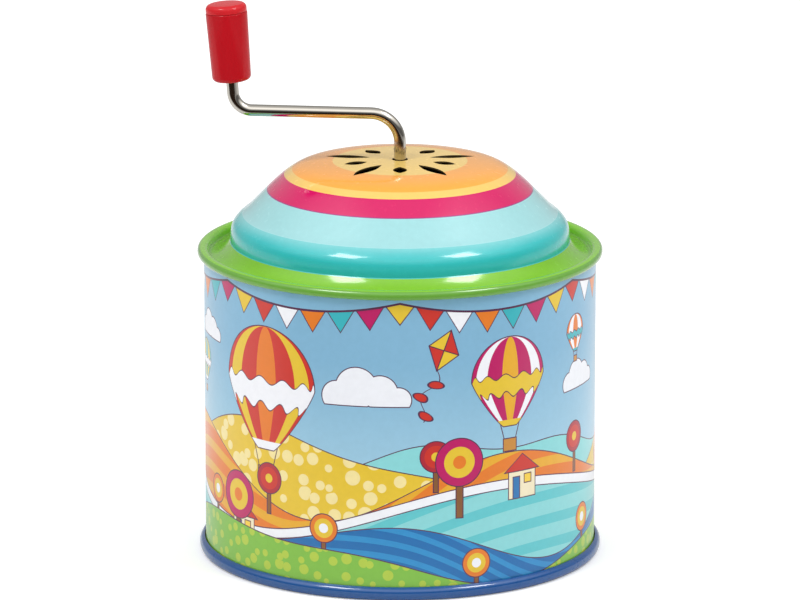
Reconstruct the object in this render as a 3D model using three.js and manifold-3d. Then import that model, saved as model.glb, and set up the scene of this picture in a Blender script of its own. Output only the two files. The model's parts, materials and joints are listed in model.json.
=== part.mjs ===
import * as THREE from 'three';
import Module from 'manifold-3d';
import { mergeVertices } from 'three/addons/utils/BufferGeometryUtils.js';

// A hand-cranked music box: a rolled tin can with a striped, domed lid, and inside it a comb
// movement driven by a worm on the crank's shaft. Lengths are in millimetres, +Z is up, the origin
// is the middle of the foot, and the crank's arm points to -X at rest.

// Tin sheet and its rolled seams
const tinSheet = 0.4;
const lidSheet = 0.3;
const baseSheet = 0.3;
const seamGap = 0.2;

// Can body
const canRadius = 36.3;
const canHeight = 57.35;
const flangeWidth = 0.45;
const sideSeamWidth = 4;
const sideSeamStep = 0.2;

// Domed lid, with its rolled rim, its groove and the cove between groove and dome
const rimStandout = 1.2;
const grooveDepth = 0.75;
const grooveRound = 0.25;
const coveWidth = 3.75;
const coveHeight = 2.7;
const covePower = 2;
const coveSteps = 4;
const domeHeight = 14.85;
const domeShares = [
  [0, 1],
  [0.3, 0.988],
  [0.446, 0.973],
  [0.573, 0.929],
  [0.653, 0.842],
  [0.732, 0.714],
  [0.844, 0.465],
  [0.892, 0.364],
  [0.949, 0.276],
  [0.984, 0.195],
];

// Sound holes round the crank, short and long petals by turns
const soundHoleCount = 10;
const shortHoleLength = 4.4;
const shortHoleWidth = 2.6;
const shortHoleDistance = 8.57;
const longHoleLength = 8.7;
const longHoleWidth = 2.4;
const longHoleDistance = 10.14;
const crankHoleRadius = 1.5;

// Base cover: a recessed panel inside a rolled rim that the tin stands on
const baseRimStandout = 1.1;
const baseRimHeight = 2.2;
const baseRimRound = 0.8;
const footRound = 0.3;
const baseRecess = 2.2;
const panelRound = 0.6;

// Crank wire: shaft, arm and grip pin bent from one length
const wireRadius = 1.1;
const crankRise = 8.65;
const shaftBendRadius = 5.5;
const pinBendRadius = 3.5;
const armLength = 21.95;
const armTilt = THREE.MathUtils.degToRad(1.45);
const pinLean = THREE.MathUtils.degToRad(4.25);
const pinLength = 13.4;
const shaftFootGap = 0.7;
const wireSides = 12;

// Grip on the pin
const gripStart = 2.15;
const sleeveLength = 13.1;
const gripFootRadius = 3.6;
const gripHeadRadius = 3.85;
const gripRound = 0.9;
const gripBoreGap = 0.3;
const socketRadius = 2.3;
const socketDepth = 4.2;
const capThickness = 1.5;
const capStemLength = 1.6;
const capGap = 0.12;
const nutRadius = 1.9;
const nutThickness = 0.5;
const nutGap = 0.3;

// Worm and worm wheel
const gearModule = 0.8;
const wheelTeeth = 20;
const wormPitchRadius = 3;
const pressureAngle = THREE.MathUtils.degToRad(20);
const backlash = 0.4;
const rootGap = 0.2;
const threadLength = 7.6;
const collarRadius = 2.4;
const collarLength = 0.8;
const wheelWidth = 4;
const hubRadius = 3.5;

// Pinned drum and its axle
const drumHeadroom = 1.4;
const drumRadius = 6.5;
const drumWall = 0.8;
const drumEndMargin = 1.2;
const drumCapThickness = 1.6;
const pinHeight = 0.5;
const pinWidth = 0.4;
const pinRoot = 0.3;
const pinsPerTooth = 3;
const pinPlaces = 36;
const pinToothStep = 7;
const pinTurnStep = 13;
const axleRadius = 1.5;
const axleStub = 1;

// Comb
const combTeeth = 18;
const toothPitch = 0.9;
const toothSlot = 0.3;
const combThickness = 0.9;
const combGap = 0.25;
const combSideGap = 0.9;
const bassToothLength = 11.5;
const trebleToothLength = 7.5;
const combPlateLength = 7;
const weightedTeeth = 6;
const weightLength = 2.2;
const weightDepth = 1.4;
const weightInset = 0.8;

// Bedplate, bearing posts and worm bracket
const bedThickness = 2.5;
const bedMargin = 1.2;
const bedRound = 5;
const bedScrewInset = 3.6;
const seatSlope = 1.5;
const seatSetback = 0.4;
const bossRadius = 3;
const postThickness = 2;
const postWidth = 8;
const footLength = 4.8;
const footThickness = 1.5;
const bracketThickness = 1.5;
const bracketWidth = 6.4;
const bracketFootLength = 5.2;
const bracketGap = 1.7;
const bracketNose = 1.1;
const clipRadius = 2.8;
const clipThickness = 0.6;
const clipOpening = THREE.MathUtils.degToRad(30);

// Screws: head radius, head height, shank radius and shank length
const baseScrew = { head: 2.2, height: 1.2, shank: 1.1, reach: 2.3 };
const postScrew = { head: 1.8, height: 1.1, shank: 0.95, reach: 3.2 };
const bracketScrew = { head: 1.4, height: 0.9, shank: 0.75, reach: 3.2 };
const combScrew = { head: 2.4, height: 1.5, shank: 1.4, reach: 5 };
const screwGap = 0.2;
const slotWidth = 0.5;
const slotDepth = 0.5;

// Running fits, and how far a cutting body runs past what it cuts
const bearingGap = 0.2;
const pressGap = 0.15;
const endPlay = 0.3;
const overrun = 1;

// Facets of the turned pieces
const tinSides = 40;
const drumSides = 36;
const gripSides = 24;
const shaftSides = 16;
const screwSides = 12;
const roundSteps = 2;
const threadSteps = 14;
const holeSteps = 5;
const weldDistance = 1e-4;

// Places worked out from the sizes above
const sheetInside = canRadius - tinSheet;
const rimRadius = canRadius + rimStandout;
const rimInnerRadius = sheetInside - seamGap - lidSheet;
const rimTop = canHeight + seamGap + lidSheet;
const rimUnderside = canHeight - tinSheet - seamGap - lidSheet;
const rimMiddle = (rimTop + rimUnderside) / 2;
const rimRound = (rimTop - rimUnderside) / 2;
const grooveHeight = rimMiddle - grooveDepth;
const domeFootRadius = rimInnerRadius - grooveRound - coveWidth;
const domeFoot = grooveHeight + coveHeight;
const domeTop = domeFoot + domeHeight;
const baseRimRadius = canRadius + baseRimStandout;
const footInnerRadius = sheetInside - seamGap - baseSheet;
const panelTop = baseRecess + baseSheet;
const bedTop = panelTop + bedThickness;
const postScrewTop = bedTop + footThickness + postScrew.height;
const drumAxisHeight = postScrewTop + drumHeadroom + pinHeight + drumRadius;

const wheelPitchRadius = gearModule * wheelTeeth / 2;
const wheelOuterRadius = wheelPitchRadius + gearModule;
const wheelRootRadius = wheelPitchRadius - gearModule - rootGap;
const wormOuterRadius = wormPitchRadius + gearModule;
const wormRootRadius = wormPitchRadius - gearModule - rootGap;
const axialPitch = Math.PI * gearModule;
const drumX = wormPitchRadius + wheelPitchRadius;
const wormFoot = drumAxisHeight - threadLength / 2 - collarLength;
const wormHead = drumAxisHeight + threadLength / 2 + collarLength;
const shaftBoreRadius = wireRadius + bearingGap;

const combStart = wormOuterRadius + combSideGap;
const combWidth = combTeeth * toothPitch - toothSlot;
const combTip = drumX - drumRadius - pinHeight - combGap;
const combRoot = combTip - bassToothLength;
const combBack = combRoot - combPlateLength;
const combUnderside = drumAxisHeight - combThickness / 2;
const drumStart = combStart - drumEndMargin;
const drumEnd = combStart + combWidth + drumEndMargin;
const wheelHubHalf = drumStart - endPlay;

const frontPost = -wheelHubHalf - endPlay - postThickness;
const rearPost = drumEnd + endPlay;
const bedFront = frontPost - footLength - bedMargin;
const bedRear = rearPost + postThickness + bedMargin;
const bedLeft = combBack - seatSlope - bedMargin;
const bedRight = drumX + postWidth / 2 + bedMargin;
const bracketFace = -wormOuterRadius - bracketGap;
const bracketArm = wormHead + endPlay;
const bracketFootMiddle = bracketFace - bracketThickness - bracketFootLength / 2;
const combScrewX = (combBack + combRoot) / 2;
const combScrewYs = [combStart + combWidth / 4, combStart + combWidth * 3 / 4];
const bracketScrewY = bracketWidth / 4;
const postScrewInset = footLength / 2;
const baseScrewPlaces = [
  [bedLeft + bedScrewInset, bedFront + bedScrewInset],
  [bedLeft + bedScrewInset, bedRear - bedScrewInset],
  [bedRight - bedScrewInset, drumStart + bedScrewInset],
];

const socketFloor = gripStart + sleeveLength - socketDepth;

const wasm = await Module();
wasm.setup();

// Closed solid from a geometry: corners welded, empty faces dropped, faces turned outward
function solidFrom(geometry) {
  geometry.deleteAttribute('normal');
  geometry.deleteAttribute('uv');
  const welded = mergeVertices(geometry, weldDistance);
  const places = welded.getAttribute('position').array;
  const corners = welded.getIndex().array;
  const faces = [];
  let volume = 0;
  for (let at = 0; at < corners.length; at += 3) {
    const [a, b, c] = [corners[at], corners[at + 1], corners[at + 2]];
    if (a !== b && b !== c && c !== a) {
      faces.push([a, b, c]);
      const [p, q, r] = [a, b, c].map((corner) => new THREE.Vector3().fromArray(places, corner * 3));
      volume += p.dot(q.cross(r));
    }
  }
  const outward = volume > 0 ? faces : faces.map(([a, b, c]) => [a, c, b]);
  return new wasm.Manifold(new wasm.Mesh({
    numProp: 3,
    vertProperties: new Float32Array(places),
    triVerts: new Uint32Array(outward.flat()),
  }));
}

// Named mesh from a closed solid
function piece(name, solid, finish) {
  const { vertProperties, triVerts } = solid.getMesh();
  const geometry = new THREE.BufferGeometry();
  geometry.setAttribute('position', new THREE.BufferAttribute(new Float32Array(vertProperties), 3));
  geometry.setIndex(new THREE.BufferAttribute(new Uint32Array(triVerts), 1));
  geometry.computeVertexNormals();
  const mesh = new THREE.Mesh(geometry, finish);
  mesh.name = name;
  return mesh;
}

// Material of one finish
function finishOf(color, roughness, metalness) {
  return new THREE.MeshStandardMaterial({ color, roughness, metalness });
}

// Solid of revolution about +Z from [radius, height] points
function turned(points, sides) {
  const outline = points.map(([radius, height]) => new THREE.Vector2(radius, height));
  return solidFrom(new THREE.LatheGeometry(outline, sides).rotateX(Math.PI / 2));
}

// Cylinder about +Z between two heights
function rod(radius, low, high, sides) {
  return turned([[0, low], [radius, low], [radius, high], [0, high]], sides);
}

// Cylinder along +Y between two places, round a line at x and z
function crossRod(radius, low, high, sides, x, z) {
  const outline = [[0, low], [radius, low], [radius, high], [0, high]];
  const points = outline.map(([r, y]) => new THREE.Vector2(r, y));
  return solidFrom(new THREE.LatheGeometry(points, sides).translate(x, 0, z));
}

// Block between two corners
function block(low, high) {
  const size = high.map((value, axis) => value - low[axis]);
  const middle = high.map((value, axis) => (value + low[axis]) / 2);
  return solidFrom(new THREE.BoxGeometry(...size).translate(...middle));
}

// Plate of an outline in the XY plane, between two heights
function plate(shape, low, high) {
  const geometry = new THREE.ExtrudeGeometry(shape, {
    depth: high - low,
    bevelEnabled: false,
    curveSegments: holeSteps,
  });
  return solidFrom(geometry.translate(0, 0, low));
}

// Plate of an outline in the XZ plane, between two places along +Y
function uprightPlate(shape, low, high) {
  const geometry = new THREE.ExtrudeGeometry(shape, {
    depth: high - low,
    bevelEnabled: false,
    curveSegments: holeSteps,
  });
  return solidFrom(geometry.rotateX(Math.PI / 2).translate(0, high, 0));
}

// Shape through [x, y] points
function shapeOf(points) {
  return new THREE.Shape(points.map(([x, y]) => new THREE.Vector2(x, y)));
}

// Points on a quarter round, from one angle to another
function roundPoints(x, y, radius, from, to) {
  const points = [];
  for (let step = 0; step <= roundSteps; step += 1) {
    const angle = from + (to - from) * step / roundSteps;
    points.push([x + radius * Math.cos(angle), y + radius * Math.sin(angle)]);
  }
  return points;
}

// Closed section of sheet metal: a path out from the axis, and the same path moved to its right by
// the sheet, or to its left where the sheet is given as less than zero
function sheetSection(points, sheet) {
  const path = points.filter(([x, y], index) => {
    const [fromX, fromY] = points[Math.max(index - 1, 0)];
    return index === 0 || Math.hypot(x - fromX, y - fromY) > weldDistance;
  });
  const normals = path.slice(1).map(([x, y], index) => {
    const [fromX, fromY] = path[index];
    const length = Math.hypot(x - fromX, y - fromY);
    return [(y - fromY) / length, (fromX - x) / length];
  });
  const hidden = path.map(([x, y], index) => {
    const [ax, ay] = normals[Math.max(index - 1, 0)];
    const [bx, by] = normals[Math.min(index, normals.length - 1)];
    const spread = 1 + ax * bx + ay * by;
    const moved = [x + sheet * (ax + bx) / spread, y + sheet * (ay + by) / spread];
    return x === 0 ? [0, moved[1]] : moved;
  });
  return [...path, ...hidden.reverse()];
}

// Slotted screw at [x, y, z], its head above the seat and its shank below it
function slottedScrew(size, x, y, z) {
  const outline = [
    [0, -size.reach],
    [size.shank, -size.reach],
    [size.shank, 0],
    [size.head, 0],
    [size.head, size.height],
    [0, size.height],
  ];
  const slot = block(
    [-size.head - overrun, -slotWidth / 2, size.height - slotDepth],
    [size.head + overrun, slotWidth / 2, size.height + overrun],
  );
  return turned(outline, screwSides).subtract(slot).translate([x, y, z]);
}

// Clearance hole for a screw's shank, between two heights
function screwHole(size, x, y, low, high) {
  return rod(size.shank + screwGap, low, high, screwSides).translate([x, y, 0]);
}

// Can body: a rolled wall with both ends turned out as flanges and a lapped seam at the back
function canBody() {
  const low = baseSheet + seamGap;
  const flangeRadius = canRadius + flangeWidth;
  const wall = turned([
    [sheetInside, low],
    [flangeRadius, low],
    [flangeRadius, low + tinSheet],
    [canRadius, low + tinSheet],
    [canRadius, canHeight - tinSheet],
    [flangeRadius, canHeight - tinSheet],
    [flangeRadius, canHeight],
    [sheetInside, canHeight],
    [sheetInside, low],
  ], tinSides);
  const halfAngle = sideSeamWidth / 2 / canRadius;
  const lap = new THREE.Shape();
  lap.absarc(0, 0, canRadius + sideSeamStep, Math.PI / 2 - halfAngle, Math.PI / 2 + halfAngle, false);
  lap.absarc(0, 0, canRadius - tinSheet / 2, Math.PI / 2 + halfAngle, Math.PI / 2 - halfAngle, true);
  return wall.add(plate(lap, baseRimHeight + seamGap, rimUnderside - seamGap));
}

// One petal of the lid's sound holes, pointing outward at a distance from the middle
function petal(length, width, distance) {
  const shape = new THREE.Shape();
  shape.moveTo(-length / 2, 0);
  shape.quadraticCurveTo(0, width, length / 2, 0);
  shape.quadraticCurveTo(0, -width, -length / 2, 0);
  return plate(shape, domeTop - domeHeight / 2, domeTop + overrun).translate([distance, 0, 0]);
}

// Domed lid: dome, cove, groove and a rim rolled over the can's upper flange, in one stamping
function domeLid() {
  const path = domeShares.map(([out, up]) => [domeFootRadius * out, domeFoot + domeHeight * up]);
  for (let step = 0; step <= coveSteps; step += 1) {
    const share = 1 - step / coveSteps;
    path.push([
      domeFootRadius + coveWidth * (1 - share),
      grooveHeight + coveHeight * share ** covePower,
    ]);
  }
  path.push([rimInnerRadius, grooveHeight + grooveRound]);
  path.push(...roundPoints(rimInnerRadius + rimRound, rimMiddle, rimRound, Math.PI, Math.PI / 2));
  path.push(...roundPoints(rimRadius - rimRound, rimMiddle, rimRound, Math.PI / 2, 0));
  path.push(...roundPoints(rimRadius - rimRound, rimMiddle, rimRound, 0, -Math.PI / 2).slice(1));
  path.push([canRadius + seamGap, rimUnderside]);
  let lid = turned(sheetSection(path, lidSheet), tinSides);
  lid = lid.subtract(rod(crankHoleRadius, domeTop - domeHeight / 2, domeTop + overrun, shaftSides));
  const shortHole = petal(shortHoleLength, shortHoleWidth, shortHoleDistance);
  const longHole = petal(longHoleLength, longHoleWidth, longHoleDistance);
  for (let index = 0; index < soundHoleCount; index += 1) {
    const hole = index % 2 === 0 ? shortHole : longHole;
    lid = lid.subtract(hole.rotate([0, 0, index * 360 / soundHoleCount - 90]));
  }
  return lid;
}

// Base cover: a recessed panel, and a rim rolled round the can's lower flange
function baseCover() {
  const roundX = baseRimRadius - baseRimRound;
  const upperRound = baseRimHeight - baseRimRound;
  const path = [
    [0, baseRecess],
    [footInnerRadius - panelRound, baseRecess],
    [footInnerRadius, baseRecess - panelRound],
    [footInnerRadius, footRound],
    [footInnerRadius + footRound, 0],
    ...roundPoints(roundX, baseRimRound, baseRimRound, -Math.PI / 2, 0),
    ...roundPoints(roundX, upperRound, baseRimRound, 0, Math.PI / 2),
    [canRadius + seamGap, baseRimHeight],
  ];
  let cover = turned(sheetSection(path, -baseSheet), tinSides);
  for (const [x, y] of baseScrewPlaces) {
    cover = cover.subtract(screwHole(baseScrew, x, y, baseRecess - overrun, panelTop + overrun));
  }
  return cover;
}

// Bedplate: a die-cast plate with the comb's seat and the shaft's foot bearing cast on it
function bedplate() {
  const outline = new THREE.Shape();
  outline.absarc(bedRight - bedRound, bedFront + bedRound, bedRound, -Math.PI / 2, 0, false);
  outline.absarc(bedRight - bedRound, bedRear - bedRound, bedRound, 0, Math.PI / 2, false);
  outline.absarc(bedLeft + bedRound, bedRear - bedRound, bedRound, Math.PI / 2, Math.PI, false);
  outline.absarc(bedLeft + bedRound, bedFront + bedRound, bedRound, Math.PI, Math.PI * 3 / 2, false);
  const seat = uprightPlate(shapeOf([
    [combBack - seatSlope, panelTop + bedThickness / 2],
    [combRoot - seatSetback, panelTop + bedThickness / 2],
    [combRoot - seatSetback, combUnderside],
    [combBack, combUnderside],
    [combBack - seatSlope, bedTop],
  ]), combStart, combStart + combWidth);
  const boss = rod(bossRadius, panelTop + bedThickness / 2, wormFoot - endPlay, shaftSides);
  let bed = plate(outline, panelTop, bedTop).add(seat).add(boss);
  bed = bed.subtract(rod(shaftBoreRadius, panelTop - overrun, wormFoot, shaftSides));
  for (const y of combScrewYs) {
    const low = combUnderside + combThickness - combScrew.reach - endPlay;
    bed = bed.subtract(screwHole(combScrew, combScrewX, y, low, combUnderside + overrun));
  }
  for (const [x, y] of baseScrewPlaces) {
    const high = baseRecess + baseScrew.reach + endPlay;
    bed = bed.subtract(screwHole(baseScrew, x, y, panelTop - overrun, high));
  }
  for (const post of [frontPost, rearPost]) {
    const y = post - postScrewInset;
    bed = bed.subtract(screwHole(postScrew, drumX, y, panelTop - overrun, bedTop + overrun));
  }
  for (const y of [-bracketScrewY, bracketScrewY]) {
    const hole = screwHole(bracketScrew, bracketFootMiddle, y, panelTop - overrun, bedTop + overrun);
    bed = bed.subtract(hole);
  }
  return bed;
}

// Bearing post: an upright round-topped plate with a foot towards -Y, standing at a place along +Y
function bearingPost(y) {
  const upright = new THREE.Shape();
  upright.moveTo(drumX - postWidth / 2, bedTop);
  upright.lineTo(drumX + postWidth / 2, bedTop);
  upright.absarc(drumX, drumAxisHeight, postWidth / 2, 0, Math.PI, false);
  const foot = block(
    [drumX - postWidth / 2, y - footLength, bedTop],
    [drumX + postWidth / 2, y + postThickness / 2, bedTop + footThickness],
  );
  const bore = crossRod(
    axleRadius + bearingGap,
    y - overrun,
    y + postThickness + overrun,
    shaftSides,
    drumX,
    drumAxisHeight,
  );
  const screwY = y - postScrewInset;
  const hole = screwHole(postScrew, drumX, screwY, bedTop - overrun, bedTop + footThickness + overrun);
  return uprightPlate(upright, y, y + postThickness).add(foot).subtract(bore).subtract(hole);
}

// Worm bracket: one bent strip, its foot on the bed and its arm over the worm as the upper bearing
function wormBracket() {
  const outerFace = bracketFace - bracketThickness;
  const armTop = bracketArm + bracketThickness;
  const strip = uprightPlate(shapeOf([
    [outerFace - bracketFootLength, bedTop],
    [bracketFace, bedTop],
    [bracketFace, bracketArm],
    [shaftBoreRadius + bracketNose, bracketArm],
    [shaftBoreRadius + bracketNose, armTop],
    [outerFace, armTop],
    [outerFace, bedTop + bracketThickness],
    [outerFace - bracketFootLength, bedTop + bracketThickness],
  ]), -bracketWidth / 2, bracketWidth / 2);
  let bracket = strip.subtract(rod(shaftBoreRadius, bracketArm - overrun, armTop + overrun, shaftSides));
  for (const y of [-bracketScrewY, bracketScrewY]) {
    const high = bedTop + bracketThickness + overrun;
    bracket = bracket.subtract(screwHole(bracketScrew, bracketFootMiddle, y, bedTop - overrun, high));
  }
  return bracket;
}

// Comb: tuned teeth cut from one plate, bass teeth longest, with weights under them near the tips
function comb() {
  const points = [[combBack, combStart]];
  for (let tooth = 0; tooth < combTeeth; tooth += 1) {
    const near = combStart + tooth * toothPitch;
    const far = near + toothPitch - toothSlot;
    const share = tooth / (combTeeth - 1);
    const root = combTip - bassToothLength + (bassToothLength - trebleToothLength) * share;
    if (tooth > 0) {
      points.push([root, near]);
    }
    points.push([combTip, near], [combTip, far]);
    if (tooth < combTeeth - 1) {
      points.push([root, far]);
    }
  }
  points.push([combBack, combStart + combWidth]);
  let steel = plate(shapeOf(points), combUnderside, combUnderside + combThickness);
  for (let tooth = 0; tooth < weightedTeeth; tooth += 1) {
    const near = combStart + tooth * toothPitch;
    steel = steel.add(block(
      [combTip - weightInset - weightLength, near, combUnderside - weightDepth],
      [combTip - weightInset, near + toothPitch - toothSlot, combUnderside + combThickness / 2],
    ));
  }
  for (const y of combScrewYs) {
    const high = combUnderside + combThickness + overrun;
    steel = steel.subtract(screwHole(combScrew, combScrewX, y, combUnderside - overrun, high));
  }
  return steel;
}

// Drum shell: a tube with pins standing out under each tooth's track
function drumShell() {
  const inner = drumRadius - drumWall;
  const tube = crossRod(drumRadius, drumStart, drumEnd, drumSides, drumX, drumAxisHeight);
  const bore = crossRod(
    inner,
    drumStart - overrun,
    drumEnd + overrun,
    drumSides,
    drumX,
    drumAxisHeight,
  );
  let shell = tube.subtract(bore);
  for (let tooth = 0; tooth < combTeeth; tooth += 1) {
    const y = combStart + tooth * toothPitch + (toothPitch - toothSlot) / 2;
    for (let turn = 0; turn < pinsPerTooth; turn += 1) {
      const place = (tooth * pinToothStep + turn * pinTurnStep) % pinPlaces;
      const pin = block(
        [drumRadius - pinRoot, y - pinWidth / 2, -pinWidth / 2],
        [drumRadius + pinHeight, y + pinWidth / 2, pinWidth / 2],
      );
      shell = shell.add(pin
        .rotate([0, (place + 1 / 2) * 360 / pinPlaces, 0])
        .translate([drumX, 0, drumAxisHeight]));
    }
  }
  return shell;
}

// End cap pressed into the drum, between two places along +Y
function drumCap(low, high) {
  const disc = crossRod(drumRadius - drumWall - pressGap, low, high, drumSides, drumX, drumAxisHeight);
  const bore = crossRod(
    axleRadius + pressGap,
    low - overrun,
    high + overrun,
    shaftSides,
    drumX,
    drumAxisHeight,
  );
  return disc.subtract(bore);
}

// Half angle of a wheel tooth at a radius, by the involute of its base circle
function toothHalfAngle(radius) {
  const involute = (angle) => Math.tan(angle) - angle;
  const baseRadius = wheelPitchRadius * Math.cos(pressureAngle);
  const slope = Math.acos(Math.min(baseRadius / radius, 1));
  const pitchHalf = (axialPitch / 2 - backlash) / 2 / wheelPitchRadius;
  return pitchHalf + involute(pressureAngle) - involute(slope);
}

// Worm wheel: involute teeth twisted to the worm's lead, with a hub on both sides
function wormWheel() {
  const points = [];
  const flank = [wheelRootRadius, wheelPitchRadius, wheelOuterRadius];
  for (let tooth = 0; tooth < wheelTeeth; tooth += 1) {
    const middle = Math.PI + tooth * 2 * Math.PI / wheelTeeth;
    for (const radius of flank) {
      const angle = middle - toothHalfAngle(radius);
      points.push([radius * Math.cos(angle), radius * Math.sin(angle)]);
    }
    for (const radius of [...flank].reverse()) {
      const angle = middle + toothHalfAngle(radius);
      points.push([radius * Math.cos(angle), radius * Math.sin(angle)]);
    }
  }
  const geometry = new THREE.ExtrudeGeometry(shapeOf(points), {
    depth: wheelWidth,
    steps: roundSteps,
    bevelEnabled: false,
  });
  geometry.translate(0, 0, -wheelWidth / 2);
  const lead = axialPitch / (2 * Math.PI * wormPitchRadius);
  const place = geometry.getAttribute('position');
  for (let index = 0; index < place.count; index += 1) {
    const along = place.getZ(index);
    const turn = along * lead / wheelPitchRadius;
    const [x, y] = [place.getX(index), place.getY(index)];
    place.setX(index, x * Math.cos(turn) + y * Math.sin(turn));
    place.setY(index, y * Math.cos(turn) - x * Math.sin(turn));
  }
  geometry.rotateX(-Math.PI / 2).translate(drumX, 0, drumAxisHeight);
  const hub = crossRod(hubRadius, -wheelHubHalf, wheelHubHalf, shaftSides, drumX, drumAxisHeight);
  const bore = crossRod(
    axleRadius + pressGap,
    -wheelHubHalf - overrun,
    wheelHubHalf + overrun,
    shaftSides,
    drumX,
    drumAxisHeight,
  );
  return solidFrom(geometry).add(hub).subtract(bore);
}

// Worm: a single right-hand thread on a core with a collar at each end, bored for the shaft
function worm() {
  const pitchHalf = (axialPitch / 2 - backlash) / 2;
  const slope = Math.tan(pressureAngle);
  const inner = wormRootRadius - wireRadius / 4;
  const innerHalf = pitchHalf + (wormPitchRadius - inner) * slope;
  const tipHalf = pitchHalf - gearModule * slope;
  const turns = (threadLength - 2 * innerHalf) / axialPitch;
  const steps = Math.round(turns * threadSteps);
  const section = [
    [inner, -innerHalf],
    [wormOuterRadius, -tipHalf],
    [wormOuterRadius, tipHalf],
    [inner, innerHalf],
  ];
  const places = [];
  const faces = [];
  for (let step = 0; step <= steps; step += 1) {
    const turn = turns * (step / steps - 1 / 2);
    const angle = turn * 2 * Math.PI + Math.PI;
    for (const [radius, rise] of section) {
      const height = drumAxisHeight + turn * axialPitch + rise;
      places.push(radius * Math.cos(angle), radius * Math.sin(angle), height);
    }
    for (let side = 0; side < section.length && step < steps; side += 1) {
      const here = step * section.length;
      const next = (side + 1) % section.length;
      const ahead = here + section.length;
      faces.push(here + side, here + next, ahead + next, here + side, ahead + next, ahead + side);
    }
  }
  const last = steps * section.length;
  faces.push(2, 1, 0, 3, 2, 0, last, last + 1, last + 2, last, last + 2, last + 3);
  const thread = new THREE.BufferGeometry();
  thread.setAttribute('position', new THREE.Float32BufferAttribute(places, 3));
  thread.setIndex(faces);
  const core = turned([
    [0, wormFoot],
    [collarRadius, wormFoot],
    [collarRadius, wormFoot + collarLength],
    [wormRootRadius, wormFoot + collarLength],
    [wormRootRadius, wormHead - collarLength],
    [collarRadius, wormHead - collarLength],
    [collarRadius, wormHead],
    [0, wormHead],
  ], shaftSides);
  const bore = rod(wireRadius + pressGap, wormFoot - overrun, wormHead + overrun, shaftSides);
  return core.add(solidFrom(thread)).subtract(bore);
}

// Stations of the wire's centre line in the XZ plane, from the shaft's foot to the pin's end
function wireStations() {
  const stations = [];
  const foot = panelTop + shaftFootGap;
  const armAngle = Math.PI - armTilt;
  const pinAngle = Math.PI / 2 + pinLean;
  let [x, z, heading] = [0, foot, Math.PI / 2];
  const mark = () => stations.push({ x, z, heading });
  const straight = (length) => {
    x += length * Math.cos(heading);
    z += length * Math.sin(heading);
    mark();
  };
  const bend = (radius, target) => {
    const steps = wireSides / 2;
    const turn = (target - heading) / steps;
    const chord = 2 * radius * Math.sin(Math.abs(turn) / 2);
    for (let step = 0; step < steps; step += 1) {
      x += chord * Math.cos(heading + turn / 2);
      z += chord * Math.sin(heading + turn / 2);
      heading += turn;
      mark();
    }
  };
  mark();
  straight(domeTop + crankRise - shaftBendRadius - foot);
  bend(shaftBendRadius, armAngle);
  straight(armLength);
  bend(pinBendRadius, pinAngle);
  straight(pinLength);
  return stations;
}

// Curve through the wire's stations, one ring of the wire at each
class WireLine extends THREE.Curve {
  constructor(stations) {
    super();
    this.stations = stations;
  }

  stationAt(share) {
    return this.stations[Math.round(share * (this.stations.length - 1))];
  }

  getPointAt(share) {
    const { x, z } = this.stationAt(share);
    return new THREE.Vector3(x, 0, z);
  }

  getTangentAt(share) {
    const { heading } = this.stationAt(share);
    return new THREE.Vector3(Math.cos(heading), 0, Math.sin(heading));
  }
}

// Crank wire: one round wire swept along its centre line
function crankWire(stations) {
  const ring = [];
  for (let side = 0; side < wireSides; side += 1) {
    const angle = side * 2 * Math.PI / wireSides;
    ring.push([wireRadius * Math.cos(angle), wireRadius * Math.sin(angle)]);
  }
  return solidFrom(new THREE.ExtrudeGeometry(shapeOf(ring), {
    steps: stations.length - 1,
    extrudePath: new WireLine(stations),
  }));
}

// Shaft clip: an open spring ring over the bracket's arm
function shaftClip() {
  const low = bracketArm + bracketThickness + endPlay;
  const shape = new THREE.Shape();
  shape.absarc(0, 0, clipRadius, clipOpening, 2 * Math.PI - clipOpening, false);
  shape.absarc(0, 0, wireRadius + pressGap, 2 * Math.PI - clipOpening, clipOpening, true);
  return plate(shape, low, low + clipThickness);
}

// Grip sleeve: a moulded handle bored for the pin, with a socket for the push nut and the cap
function gripSleeve() {
  const high = gripStart + sleeveLength;
  const bore = wireRadius + gripBoreGap;
  return turned([
    [bore, gripStart],
    ...roundPoints(gripFootRadius - gripRound, gripStart + gripRound, gripRound, -Math.PI / 2, 0),
    [gripHeadRadius, high],
    [socketRadius, high],
    [socketRadius, socketFloor],
    [bore, socketFloor],
    [bore, gripStart],
  ], gripSides);
}

// Grip cap: a rounded plug whose stem fills the mouth of the sleeve's socket
function gripCap() {
  const low = gripStart + sleeveLength + capGap;
  const high = low + capThickness;
  const stem = socketRadius - pressGap;
  return turned([
    [0, low - capStemLength],
    [stem, low - capStemLength],
    [stem, low],
    [gripHeadRadius, low],
    ...roundPoints(gripHeadRadius - gripRound, high - gripRound, gripRound, 0, Math.PI / 2),
    [0, high],
  ], gripSides);
}

// Push nut that keeps the sleeve on the pin
function gripNut() {
  const low = socketFloor + nutGap;
  const inner = wireRadius + pressGap;
  return turned([
    [inner, low],
    [nutRadius, low],
    [nutRadius, low + nutThickness],
    [inner, low + nutThickness],
    [inner, low],
  ], shaftSides);
}

// Finishes
const printedTin = finishOf('#84b4d6', 0.35, 0.1);
const printedLid = finishOf('#43bbb9', 0.3, 0.1);
const printedBase = finishOf('#2c5fa0', 0.35, 0.1);
const platedSteel = finishOf('#b9b8b4', 0.2, 1);
const redPlastic = finishOf('#be1e28', 0.35, 0);
const castZinc = finishOf('#9a9c9d', 0.5, 0.9);
const springSteel = finishOf('#c9ccd0', 0.3, 1);
const brass = finishOf('#c9a14a', 0.3, 1);
const bracketSteel = finishOf('#a8abad', 0.4, 1);

const musicBox = new THREE.Group();
const stations = wireStations();
const pinFoot = stations[stations.length - 2];

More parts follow.
